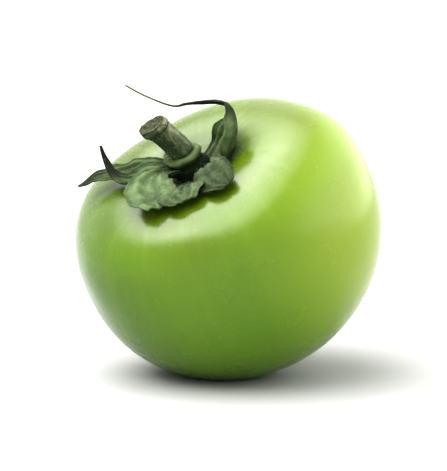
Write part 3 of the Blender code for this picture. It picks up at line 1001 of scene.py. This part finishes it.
def hair_material():
    """Pale hairs, some greener than others."""
    nodes = Nodes("plant_hair")
    tone = nodes.noise(nodes.place(), scale=300, detail=2)
    colour = nodes.ramp(tone, (0.35, (0.20, 0.26, 0.14)), (0.65, (0.48, 0.54, 0.40)))
    return nodes.finish(Base_Color=colour, Roughness=0.5)


def floor_material():
    """Pale matt board with the faintest unevenness."""
    nodes = Nodes("pale_floor")
    tone = nodes.noise(nodes.place(), scale=6, detail=2)
    colour = nodes.ramp(tone, (0.3, (0.435, 0.435, 0.435)), (0.7, (0.455, 0.455, 0.45)))
    return nodes.finish(Base_Color=colour, Roughness=0.85, Specular_IOR_Level=0.2)


# The stage


def make_floor():
    shape = Shape()
    signs = ((-1, -1), (1, -1), (1, 1), (-1, 1))
    corners = [shape.point((x * FLOOR_HALF_WIDTH, y * FLOOR_HALF_WIDTH, 0)) for x, y in signs]
    shape.mesh.faces.new(corners)
    shape.done("floor", floor_material(), smooth_shaded=False, frame=Matrix())


def soft_lamp(name, centre, width, depth, brightness):
    """A level oval lamp that shines down, as wide along X and as deep along Y as given."""
    light = bpy.data.lights.new(name, "AREA")
    light.shape = "ELLIPSE"
    light.size, light.size_y = width, depth
    light.energy = brightness * math.pi * (math.pi / 4 * width * depth)
    holder = bpy.data.objects.new(name, light)
    bpy.context.scene.collection.objects.link(holder)
    holder.location = centre


def light_the_scene():
    """Stacked oval lamps overhead, softest at their edges, in a white room that glows on the right."""
    for number, (x, y, width, depth, brightness) in enumerate(LAMP_OVALS):
        centre = (x, y, LAMP_HEIGHT - LAMP_SPACING * number)
        soft_lamp(f"overhead_{number}", centre, width, depth, brightness)
    world = bpy.data.worlds.new("white_room")
    bpy.context.scene.world = world
    world.use_nodes = True
    tree = world.node_tree
    direction = tree.nodes.new("ShaderNodeTexCoord").outputs["Generated"]
    towards = tree.nodes.new("ShaderNodeVectorMath")
    towards.operation = "DOT_PRODUCT"
    towards.inputs[1].default_value = GLOW_TOWARDS.normalized()
    glow = tree.nodes.new("ShaderNodeMapRange")
    glow.interpolation_type = "SMOOTHSTEP"
    glow.inputs["From Min"].default_value = GLOW_FROM_COSINE
    glow.inputs["From Max"].default_value = 1.0
    glow.inputs["To Min"].default_value = ROOM_BRIGHTNESS
    glow.inputs["To Max"].default_value = GLOW_BRIGHTNESS
    tree.links.new(direction, towards.inputs[0])
    tree.links.new(towards.outputs["Value"], glow.inputs["Value"])
    tree.links.new(glow.outputs["Result"], tree.nodes["Background"].inputs["Strength"])
    tree.nodes["Background"].inputs["Color"].default_value = (1, 1, 1, 1)


def place_camera():
    camera = bpy.data.cameras.new("camera")
    camera.sensor_width = SENSOR_WIDTH
    camera.sensor_fit = "HORIZONTAL"
    camera.lens = SENSOR_WIDTH * VIEW_DISTANCE / VIEW_WIDTH
    camera.clip_start, camera.clip_end = VIEW_CLIP
    holder = bpy.data.objects.new("camera", camera)
    bpy.context.scene.collection.objects.link(holder)
    back = Vector((0, -math.cos(VIEW_ELEVATION), math.sin(VIEW_ELEVATION)))
    holder.matrix_world = back.to_track_quat("Z", "Y").to_matrix().to_4x4()
    holder.matrix_world.translation = VIEW_MIDDLE + back * VIEW_DISTANCE
    bpy.context.scene.camera = holder
    view = bpy.context.scene.view_settings
    view.view_transform = "Standard"
    view.look = "Medium High Contrast"
    view.exposure = VIEW_EXPOSURE
    view.gamma = VIEW_GAMMA


def tree_of(piece):
    """The piece's faces, laid out for finding the nearest point on them."""
    mesh = piece.data
    return BVHTree.FromPolygons([v.co for v in mesh.vertices], [face.vertices for face in mesh.polygons])


def main():
    place_camera()
    make_floor()
    light_the_scene()

    skin = make_skin(skin_material())
    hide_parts("fruit")

    leaf = sepal_material()
    calyx = [make_knob(leaf)]
    skin_tree = tree_of(skin)
    calyx += [make_sepal(name, number, leaf, skin_tree) for number, name in enumerate(SEPALS)]
    for piece in calyx:
        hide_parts("calyx")

    stub = make_stub(stub_material())
    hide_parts("pedicel")

    hair = hair_material()
    calyx_hairs = make_hairs("calyx_hairs", calyx, CALYX_HAIRS, hair, CALYX_HAIR_SEED)
    stub_hairs = make_hairs("stub_hairs", [stub], STUB_HAIRS, hair, STUB_HAIR_SEED)

    for piece in (skin, *calyx, stub, calyx_hairs, stub_hairs):
        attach(piece, "root")


main()
